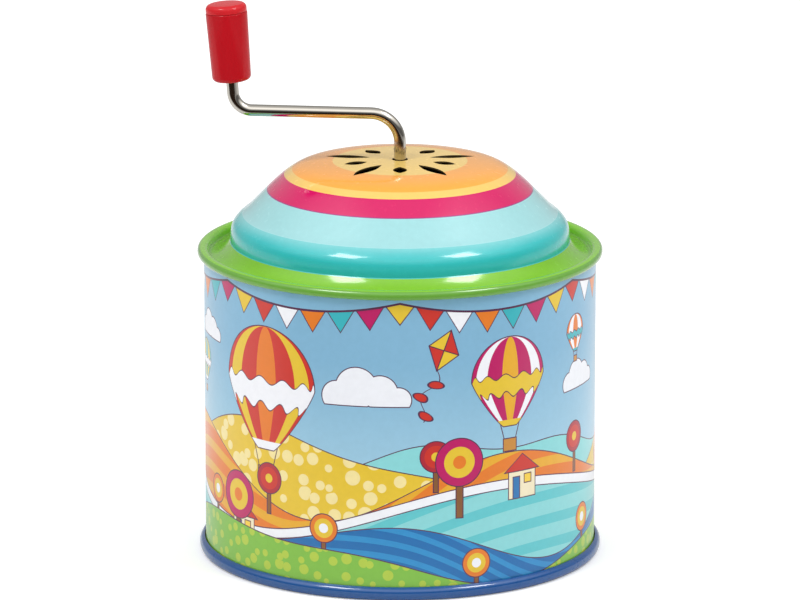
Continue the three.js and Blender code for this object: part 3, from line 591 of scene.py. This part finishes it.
# Domed lid: one stamping of thin printed tinplate. Its dome has the sound holes and the crank's hole
# punched through it, and its edge is rolled over the can's upper flange.
lid_sheet = 0.3 * mm
seam_gap = 0.2 * mm
lid_low, lid_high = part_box("dome_lid")
rim_radius = lid_high.x
rim_inner = can_radius - sheet - seam_gap - lid_sheet
rim_top = can_high.z + seam_gap + lid_sheet
rim_middle = (rim_top + lid_low.z) / 2
rim_round = (rim_top - lid_low.z) / 2
groove_round = 0.25 * mm
groove_drop = 0.75 * mm
groove_z = rim_middle - groove_drop
cove_width = 3.75 * mm
cove_height = 2.7 * mm
cove_power = 2.0
dome_radius = rim_inner - groove_round - cove_width
dome_foot = groove_z + cove_height
dome_rise = lid_high.z - dome_foot
dome_steps = 5
dome_shares = [(0, 1), (0.15, 0.997), (0.3, 0.988), (0.448, 0.973), (0.582, 0.929), (0.665, 0.842),
               (0.745, 0.704), (0.803, 0.585), (0.857, 0.47), (0.903, 0.372), (0.938, 0.313),
               (0.954, 0.284), (0.971, 0.245), (0.981, 0.216), (0.989, 0.182), (0.995, 0.138),
               (0.999, 0.07), (1, 0)]


def flowing(points, steps):
    """A smooth curve through points, with a few steps between each two."""
    made = []
    for index, (start, end) in enumerate(zip(points, points[1:])):
        before = Vector(points[max(index - 1, 0)])
        after = Vector(points[min(index + 2, len(points) - 1)])
        start, end = Vector(start), Vector(end)
        lead, trail = (end - before) / 2, (after - start) / 2
        for step in range(steps):
            s = step / steps
            spot = start * (2 * s ** 3 - 3 * s ** 2 + 1) + lead * (s ** 3 - 2 * s ** 2 + s)
            spot += end * (3 * s ** 2 - 2 * s ** 3) + trail * (s ** 3 - s ** 2)
            made.append((spot.x, spot.y))
    return made + [tuple(points[-1])]


dome_points = [(dome_radius * out, dome_foot + dome_rise * up) for out, up in dome_shares]
lid_outline = flowing(dome_points, dome_steps)
lid_outline[0] = (0, lid_high.z)
cove_steps = 10
for step in range(1, cove_steps + 1):
    share = step / cove_steps
    lid_outline.append((dome_radius + cove_width * share,
                        groove_z + cove_height * (1 - share) ** cove_power))
lid_outline += arc(rim_inner - groove_round, groove_z + groove_round, groove_round, -60, 0, 3)
lid_outline += arc(rim_inner + rim_round, rim_middle, rim_round, 180, 90, 8)
lid_outline += arc(rim_radius - rim_round, rim_middle, rim_round, 90, -90, 16)
lid_outline.append((can_radius + seam_gap, lid_low.z))
lid = lathe("striped_lid", lid_outline, turn_steps, closed=False)


def thicken(made, thickness, outside, inside):
    """Gives a sheet its thickness, behind the face that shows, and a finish to each of its sides."""
    made.data.materials.append(outside)
    made.data.materials.append(inside)
    wall = made.modifiers.new("sheet", "SOLIDIFY")
    wall.thickness = thickness
    wall.offset = -1
    wall.use_even_offset = True
    wall.material_offset = 1
    wall.material_offset_rim = 1
    only(made)
    bpy.ops.object.modifier_apply(modifier=wall.name)


def punch(made, tool):
    """Cuts a tool's shape out of a piece, with the inner finish on the cut, and removes the tool."""
    for finish in made.data.materials:
        tool.data.materials.append(finish)
    for face in tool.data.polygons:
        face.material_index = len(tool.data.materials) - 1
    cut = made.modifiers.new("punch", "BOOLEAN")
    cut.object = tool
    cut.solver = "EXACT"
    only(made)
    bpy.ops.object.modifier_apply(modifier=cut.name)
    bpy.data.objects.remove(tool)


# Lithographed stripes on the lid: rings of flat ink under the same varnish, by their distance from the
# crank in mm. The eye gets clean bright rings, a hair of purple where the magenta laps the pale ink, and
# the teal ring paler along its inner edge. The last ring's darker green, on the rim's outer face, is
# painted shade.
lid_peel = 1.67 * mm
lid_print, ink = new_finish("lithographed_stripes")
place = ink("TexCoord").node.outputs["Object"]
x, y, _ = ink("SeparateXYZ", place).node.outputs
out = ink("VectorMath LENGTH", ink("CombineXYZ", x, y))
out = ink("Math DIVIDE", out, mm)
reach = rim_radius / mm
teal_start = 29.04
# The last stop is painted shade: a darker green on the rim's outer face, where less light falls
stripes = ((0, "f8d068"), (12.4, "fba93c"), (19.85, "f2c868"), (21.35, "d20560"), (24.33, "9c2f7c"),
           (24.48, "9dd3d6"), (teal_start, "2eb9bb"), (31.39, "7ec214"), (37.05, "66a238"))
rings = ink("ValToRGB", ink("Math DIVIDE", out, reach),
            stops=[(radius / reach, colour) for radius, colour in stripes])
fade_start, fade_end, fade_share = 29.35, 30.65, 0.45
pale = ink("MapRange", out, fade_start, fade_end, fade_share, 0.0)
pale = ink("Math MULTIPLY", ink("Math GREATER_THAN", out, teal_start), pale)
rings = ink("Mix", pale, rings, linear("a4dde0"), data_type="RGBA")
mottle = ink("TexNoise", place, named={"Scale": 1 / ink_mottle, "Detail": 3.0})
tone = ink("MapRange", mottle, *tone_span, *tone_change)
rings = ink("VectorMath SCALE", rings, tone)
peel = ink("TexNoise", place, named={"Scale": 1 / lid_peel, "Detail": 1.0})
gloss = ink("MapRange", mottle, *noise_span, 0.22, 0.28)
level = ink("Bump", 0.04, 0.02 * mm, None, peel)
varnish = {"Base Color": rings, "Roughness": gloss, "Normal": level, "Specular IOR Level": 0.1}
varnish.update({"Coat Weight": 1.0, "Coat Roughness": 0.12, "Coat IOR": 1.5})
ink("OutputMaterial", ink("BsdfPrincipled", named=varnish))

thicken(lid, lid_sheet, lid_print, lacquer_and_painted_shade)
hole_count = 10
hole_sizes = ((4.4 * mm, 2.6 * mm, 8.57 * mm), (8.7 * mm, 2.4 * mm, 10.14 * mm))
hole_steps = 24
crank_hole = 1.5 * mm
crank_hole_steps = 48
for index in range(hole_count):
    length, width, distance = hole_sizes[index % 2]
    bpy.ops.object.select_all(action="DESELECT")
    bpy.ops.mesh.primitive_circle_add(vertices=hole_steps, radius=length / 2, fill_type="NGON",
                                      location=(0, 0, lid_high.z - dome_rise / 2))
    tool = bpy.context.object
    for corner in tool.data.vertices:
        share = 1 - (2 * corner.co.x / length) ** 2
        corner.co.y = math.copysign(width / 2 * share, corner.co.y)
    bpy.ops.object.mode_set(mode="EDIT")
    bpy.ops.mesh.select_all(action="SELECT")
    bpy.ops.mesh.remove_doubles(threshold=weld)
    bpy.ops.mesh.extrude_region_move(TRANSFORM_OT_translate={"value": (0, 0, dome_rise)})
    bpy.ops.mesh.select_all(action="SELECT")
    bpy.ops.mesh.normals_make_consistent(inside=False)
    bpy.ops.object.mode_set(mode="OBJECT")
    turned = Matrix.Rotation(index * 2 * math.pi / hole_count - math.pi / 2, 4, "Z")
    tool.matrix_world = turned @ Matrix.Translation((distance, 0, 0)) @ tool.matrix_world
    punch(lid, tool)
bpy.ops.object.select_all(action="DESELECT")
bpy.ops.mesh.primitive_cylinder_add(vertices=crank_hole_steps, radius=crank_hole, depth=dome_rise,
                                    location=(0, 0, lid_high.z))
punch(lid, bpy.context.object)
smooth(lid, 32)
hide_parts("dome_lid")
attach(lid, "tin")


# Base cover: a blue printed stamping with a recessed panel, its edge rolled round the can's lower
# flange. The tin stands on the roll.
base_sheet = 0.3 * mm
_, base_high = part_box("base_cover")
base_radius = base_high.x
base_rim_height = 2.5 * mm
base_round = 1.1 * mm
base_lip = math.degrees(math.acos((can_radius + seam_gap - base_radius + base_round) / base_round))
foot_round = 0.3 * mm
base_recess = 2.2 * mm
panel_round = 0.6 * mm
foot_inner = can_radius - sheet - seam_gap - base_sheet
bead_radius = 31.6 * mm
bead_width = 0.9 * mm
bead_height = 0.35 * mm
base_outline = [(0, base_recess)]
bead_steps = 8
for step in range(bead_steps + 1):
    share = step / bead_steps
    base_outline.append((bead_radius + bead_width * (2 * share - 1),
                         base_recess + bead_height * math.sin(math.pi * share) ** 2))
base_outline += arc(foot_inner - panel_round, base_recess - panel_round, panel_round, 90, 0, 5)
base_outline += arc(foot_inner + foot_round, foot_round, foot_round, 180, 270, 4)
base_outline += arc(base_radius - base_round, base_round, base_round, -90, 0, 8)
base_outline += arc(base_radius - base_round, base_rim_height - base_round, base_round, 0, base_lip, 8)
base = lathe("base_cover_roll", base_outline, turn_steps, closed=False)

# Blue lithographed tinplate under a hard clear varnish. The eye gets one deep colour with a thin
# sharp highlight along the roll, and a few pale rubbed spots where the roll meets the table.
base_mottle = 1.25 * mm
rub_height = 0.4 * mm
base_print, ink = new_finish("blue_tinplate")
place = ink("TexCoord").node.outputs["Object"]
height = ink("SeparateXYZ", place).node.outputs["Z"]
mottle = ink("TexNoise", place, named={"Scale": 1 / base_mottle, "Detail": 4.0})
blue = ink("Mix", mottle, linear("00498c"), linear("044f92"), data_type="RGBA")
low = ink("MapRange", height, 0.0, rub_height, 0.48, 0.26)
rub = ink("Math LESS_THAN", ink("Math SUBTRACT", 1.0, mottle), low)
blue = ink("Mix", ink("Math MULTIPLY", rub, 0.2), blue, linear("8795a5"), data_type="RGBA")
gloss = ink("MapRange", mottle, *noise_span, 0.26, 0.34)
peel = ink("TexNoise", place, named={"Scale": 1 / lid_peel})
level = ink("Bump", 0.05, 0.02 * mm, None, peel)
varnish = {"Base Color": blue, "Roughness": gloss, "Normal": level, "Specular IOR Level": 0.1}
varnish.update({"Coat Weight": 1.0, "Coat Roughness": 0.03, "Coat IOR": 1.6})
ink("OutputMaterial", ink("BsdfPrincipled", named=varnish))
thicken(base, base_sheet, base_print, lacquer_and_painted_shade)
smooth(base, 32)
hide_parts("base_cover")
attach(base, "tin")


# Crank wire: one length of nickel-plated steel wire, bent twice. Its foot runs down through the lid
# and the worm to the bed, and its other end is the pin that the grip turns on.
wire_low, wire_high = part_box("crank_wire")
wire_radius = wire_high.y
wire_sides = 32
shaft_bend = 5.5 * mm
pin_bend = 3.5 * mm
arm_tilt = math.radians(1.45)
pin_lean = math.radians(4.25)
arm_length = 21.95 * mm
pin_length = 13.4 * mm
bend_steps = 14
bpy.ops.object.select_all(action="DESELECT")
bpy.ops.mesh.primitive_circle_add(vertices=wire_sides, radius=wire_radius, fill_type="NGON",
                                  location=(0, 0, wire_low.z))
wire_piece = bpy.context.object
wire_piece.name = "bent_wire"


def heading(angle):
    """Direction in the wire's plane, from +X towards +Z."""
    return Vector((math.cos(angle), 0, math.sin(angle)))


arm_heading = math.pi - arm_tilt
pin_heading = math.pi / 2 + pin_lean
arm_turn = arm_heading - math.pi / 2
pin_turn = arm_heading - pin_heading
arm_reach = arm_length * heading(arm_heading)
pin_end = wire_high.z - wire_radius * math.sin(pin_lean)
pin_foot_z = pin_end - pin_length * math.cos(pin_lean)
arm_end_z = pin_foot_z - pin_bend * (math.sin(arm_turn) - math.sin(pin_lean))
shaft_top = Vector((0, 0, arm_end_z - arm_reach.z - shaft_bend * math.sin(arm_turn)))
shaft_centre = shaft_top - Vector((shaft_bend, 0, 0))
arm_end = shaft_centre + shaft_bend * heading(arm_turn) + arm_reach
pin_centre = arm_end + pin_bend * heading(arm_turn)
pin_foot = pin_centre + pin_bend * heading(math.pi + pin_lean)
bpy.ops.object.mode_set(mode="EDIT")
bpy.ops.mesh.select_mode(type="VERT")
bpy.ops.mesh.select_all(action="SELECT")
for reach, centre, turn, axis in (
        (shaft_top - Vector((0, 0, wire_low.z)), shaft_centre, arm_turn, (0, 1, 0)),
        (arm_reach, pin_centre, pin_turn, (0, -1, 0))):
    bpy.ops.mesh.extrude_region_move(TRANSFORM_OT_translate={"value": tuple(reach)})
    bpy.ops.mesh.spin(steps=bend_steps, angle=turn, center=tuple(centre), axis=axis)
pin_step = pin_length * heading(pin_heading)
bpy.ops.mesh.extrude_region_move(TRANSFORM_OT_translate={"value": tuple(pin_step)})
bpy.ops.mesh.select_all(action="SELECT")
bpy.ops.mesh.remove_doubles(threshold=weld)
bpy.ops.mesh.normals_make_consistent(inside=False)
bpy.ops.object.mode_set(mode="OBJECT")
bpy.ops.object.transform_apply(location=True)
smooth(wire_piece, 40)

# Bright nickel plate on drawn wire: a mirror, a little warm, hazed by handling and with die lines
# along it, drawn coarser than the real ones so that they show. The eye gets long white and dark
# streaks that run round the bends.
die_line_width = 0.12 * mm
haze_size = 4 * mm
nickel, add = new_finish("nickel_plated_wire")
place = add("TexCoord").node.outputs["Object"]
across = add("SeparateXYZ", place).node.outputs["Y"]
across = add("Math DIVIDE", across, die_line_width)
die_lines = add("TexNoise", across, noise_dimensions="1D", named={"Scale": 1.0, "Detail": 2.0})
haze = add("TexNoise", place, named={"Scale": 1 / haze_size, "Detail": 4.0})
shade = add("Mix", haze, linear("c0bab0"), linear("cbc7be"), data_type="RGBA")
dull = add("MapRange", haze, 0.35, 0.7, 0.06, 0.13)
level = add("Bump", 0.3, 0.01 * mm, None, die_lines)
plating = {"Base Color": shade, "Metallic": 1.0, "Roughness": dull, "Normal": level}
add("OutputMaterial", add("BsdfPrincipled", named=plating))
dress(wire_piece, nickel)
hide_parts("crank_wire")
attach(wire_piece, "crank")


# Grip: a moulded red sleeve that turns on the wire's pin, and a cap pressed into its mouth over the
# push nut that holds it on.
sleeve_start = 2.4 * mm
sleeve_length = 12.85 * mm
grip_foot = 3.6 * mm
grip_head = 3.85 * mm
grip_round = 0.9 * mm
grip_bore = 1.4 * mm
socket_radius = 2.3 * mm
socket_depth = 4.2 * mm
cap_gap = 0.04 * mm
cap_edge = 0.05 * mm
cap_inset = 0.06 * mm
cap_thick = 1.5 * mm
cap_stem = 1.6 * mm
stem_gap = 0.15 * mm
mouth_round = 0.22 * mm
grip_steps = 72


def on_pin(made):
    """Carries a piece made round +Z out to the pin and leans it, then fixes its place."""
    made.matrix_world = Matrix.Translation(pin_foot) @ Matrix.Rotation(-pin_lean, 4, "Y")
    only(made)
    bpy.ops.object.transform_apply(location=True, rotation=True)


sleeve_top = sleeve_start + sleeve_length
sleeve_outline = [(grip_bore, sleeve_start)]
sleeve_outline += arc(grip_foot - grip_round, sleeve_start + grip_round, grip_round, -90, 0, 8)
sleeve_outline += arc(grip_head - mouth_round, sleeve_top - mouth_round, mouth_round, 0, 90, 5)
sleeve_outline += [(socket_radius, sleeve_top), (socket_radius, sleeve_top - socket_depth),
                   (grip_bore, sleeve_top - socket_depth)]
sleeve = lathe("moulded_sleeve", sleeve_outline, grip_steps, closed=True)
smooth(sleeve, 32)
on_pin(sleeve)

cap_foot = sleeve_top + cap_gap
cap_top = cap_foot + cap_thick
stem_radius = socket_radius - stem_gap
cap_radius = grip_head - cap_inset
cap_outline = [(0, cap_foot - cap_stem), (stem_radius, cap_foot - cap_stem), (stem_radius, cap_foot)]
cap_outline += arc(cap_radius - cap_edge, cap_foot + cap_edge, cap_edge, -90, 0, 2)
cap_outline += arc(cap_radius - grip_round, cap_top - grip_round, grip_round, 0, 90, 8)
cap_outline.append((0, cap_top))
cap = lathe("moulded_cap", cap_outline, grip_steps, closed=False)
smooth(cap, 32)
on_pin(cap)

# Red ABS, injection moulded in a polished mould: even deep colour with faint flow lines under a smooth
# skin. The cap is the same plastic as the sleeve, its red drawn lighter as painted light because it faces
# up. The eye gets clean highlights round the cap and the mouth.
flow_width = 3.33 * mm
flow_stretch = 0.3
# The cap's lighter reds are painted light: the same plastic as the sleeve, drawn brighter
for made, node, deep, bright in ((sleeve, "grip_sleeve", "b00f1a", "ba131f"),
                                 (cap, "grip_cap", "c61f27", "d0262d")):
    red_abs, add = new_finish("moulded_red_abs_" + node)
    place = add("TexCoord").node.outputs["Object"]
    along = add("Mapping", place, None, None, (1.0, 1.0, flow_stretch))
    flow = add("TexNoise", along, named={"Scale": 1 / flow_width})
    shade = add("Mix", flow, linear(deep), linear(bright), data_type="RGBA")
    dull = add("MapRange", flow, *noise_span, 0.24, 0.3)
    level = add("Bump", 0.05, 0.01 * mm, None, flow)
    plastic = {"Base Color": shade, "Roughness": dull, "Normal": level, "Specular IOR Level": 0.05}
    plastic.update({"Coat Weight": 0.35, "Coat Roughness": 0.1, "Coat IOR": 1.5})
    add("OutputMaterial", add("BsdfPrincipled", named=plastic))
    dress(made, red_abs)
    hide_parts(node)
    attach(made, "grip")


# Base screws: three slotted pan-head screws, headed from steel wire and zinc-plated. They are driven
# up through the base's panel into the bed, and show from below.
screw_head = 2.2 * mm
screw_height = 1.2 * mm
screw_shank = 1.1 * mm
slot_width = 0.5 * mm
slot_depth = 0.5 * mm
edge_round = 0.35 * mm
screw_steps = 32

# Zinc plate on steel: the eye gets a cool grey metal, bright but a little uneven
plate_grain = 0.83 * mm
plated_steel, add = new_finish("zinc_plated_steel")
place = add("TexCoord").node.outputs["Object"]
grain = add("TexNoise", place, named={"Scale": 1 / plate_grain, "Detail": 5.0})
shade = add("Mix", grain, linear("a6abad"), linear("bcc0c2"), data_type="RGBA")
dull = add("MapRange", grain, *noise_span, 0.28, 0.45)
level = add("Bump", 0.3, 0.01 * mm, None, grain)
plating = {"Base Color": shade, "Metallic": 1.0, "Roughness": dull, "Normal": level}
add("OutputMaterial", add("BsdfPrincipled", named=plating))

screw_low, screw_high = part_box("base_screw_1")
seat = screw_low.z + screw_height
screw_outline = [(0, screw_high.z), (screw_shank, screw_high.z), (screw_shank, seat), (screw_head, seat)]
screw_outline += arc(screw_head - edge_round, screw_low.z + edge_round, edge_round, 0, -90, 4)
screw_outline.append((0, screw_low.z))
pattern_screw = lathe("pan_head_screw", screw_outline, screw_steps, closed=False)
dress(pattern_screw, plated_steel)
bpy.ops.object.select_all(action="DESELECT")
bpy.ops.mesh.primitive_cube_add(size=1, location=(0, 0, screw_low.z), scale=(
    4 * screw_head, slot_width, 2 * slot_depth))
punch(pattern_screw, bpy.context.object)
smooth(pattern_screw, 32)
for index in (1, 2, 3):
    node = "base_screw_%d" % index
    low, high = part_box(node)
    middle = (low + high) / 2
    screw = pattern_screw.copy()
    screw.data = pattern_screw.data.copy()
    screw.name = "panel_screw_%d" % index
    bpy.context.scene.collection.objects.link(screw)
    screw.location = (middle.x, middle.y, 0)
    only(screw)
    bpy.ops.object.transform_apply(location=True)
    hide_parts(node)
    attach(screw, "tin")
bpy.data.objects.remove(pattern_screw)


# Movement: bedplate and worm wheel of die-cast zinc, stamped and plated steel posts, bracket, screws
# and clips, a comb of ground spring steel, and a brass drum and worm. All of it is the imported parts.

# Die-cast zinc as it leaves the die: the eye gets a matt grey with a sandy grain
sand_size = 1.11 * mm
cast_zinc, add = new_finish("die_cast_zinc")
place = add("TexCoord").node.outputs["Object"]
grain = add("TexNoise", place, named={"Scale": 1 / sand_size, "Detail": 6.0})
shade = add("Mix", grain, linear("8f9294"), linear("a4a7a8"), data_type="RGBA")
dull = add("MapRange", grain, *noise_span, 0.42, 0.6)
level = add("Bump", 0.5, 0.03 * mm, None, grain)
metal = {"Base Color": shade, "Metallic": 1.0, "Roughness": dull, "Normal": level}
add("OutputMaterial", add("BsdfPrincipled", named=metal))

# Ground spring steel: the eye gets a bright metal with straight grinding lines along the comb's teeth,
# drawn coarser than the real ones so that they show
ground_size = 1.25 * mm
ground_stretch = (0.3, 8.0, 1.0)
ground_steel, add = new_finish("ground_spring_steel")
place = add("TexCoord").node.outputs["Object"]
along = add("Mapping", place, None, None, ground_stretch)
lines = add("TexNoise", along, named={"Scale": 1 / ground_size})
shade = add("Mix", lines, linear("bfc3c8"), linear("d3d6da"), data_type="RGBA")
dull = add("MapRange", lines, *noise_span, 0.2, 0.38)
level = add("Bump", 0.4, 0.01 * mm, None, lines)
metal = {"Base Color": shade, "Metallic": 1.0, "Roughness": dull, "Normal": level}
add("OutputMaterial", add("BsdfPrincipled", named=metal))

# Turned brass: the eye gets a warm yellow metal with the lathe's rings round the drum, which are
# drawn coarser than the real ones so that they show
turned_size = 1.67 * mm
turned_stretch = (1.0, 6.0, 1.0)
turned_brass, add = new_finish("turned_brass")
place = add("TexCoord").node.outputs["Object"]
along = add("Mapping", place, None, None, turned_stretch)
lines = add("TexNoise", along, named={"Scale": 1 / turned_size})
shade = add("Mix", lines, linear("c29a45"), linear("d3ae58"), data_type="RGBA")
dull = add("MapRange", lines, *noise_span, 0.2, 0.36)
level = add("Bump", 0.4, 0.01 * mm, None, lines)
metal = {"Base Color": shade, "Metallic": 1.0, "Roughness": dull, "Normal": level}
add("OutputMaterial", add("BsdfPrincipled", named=metal))

finishes = {"cast_bed": cast_zinc, "bracket_steel": plated_steel, "spring_steel": ground_steel,
            "drum_brass": turned_brass}
for part in frame["record"]["subparts"]:
    finish = finishes.get(part["material_slot"])
    made = frame["nodes"][part["node"]]
    if finish and not part["node"].startswith("base_screw"):
        for holder in made.material_slots:
            holder.material = finish
        if not made.material_slots:
            made.data.materials.append(finish)
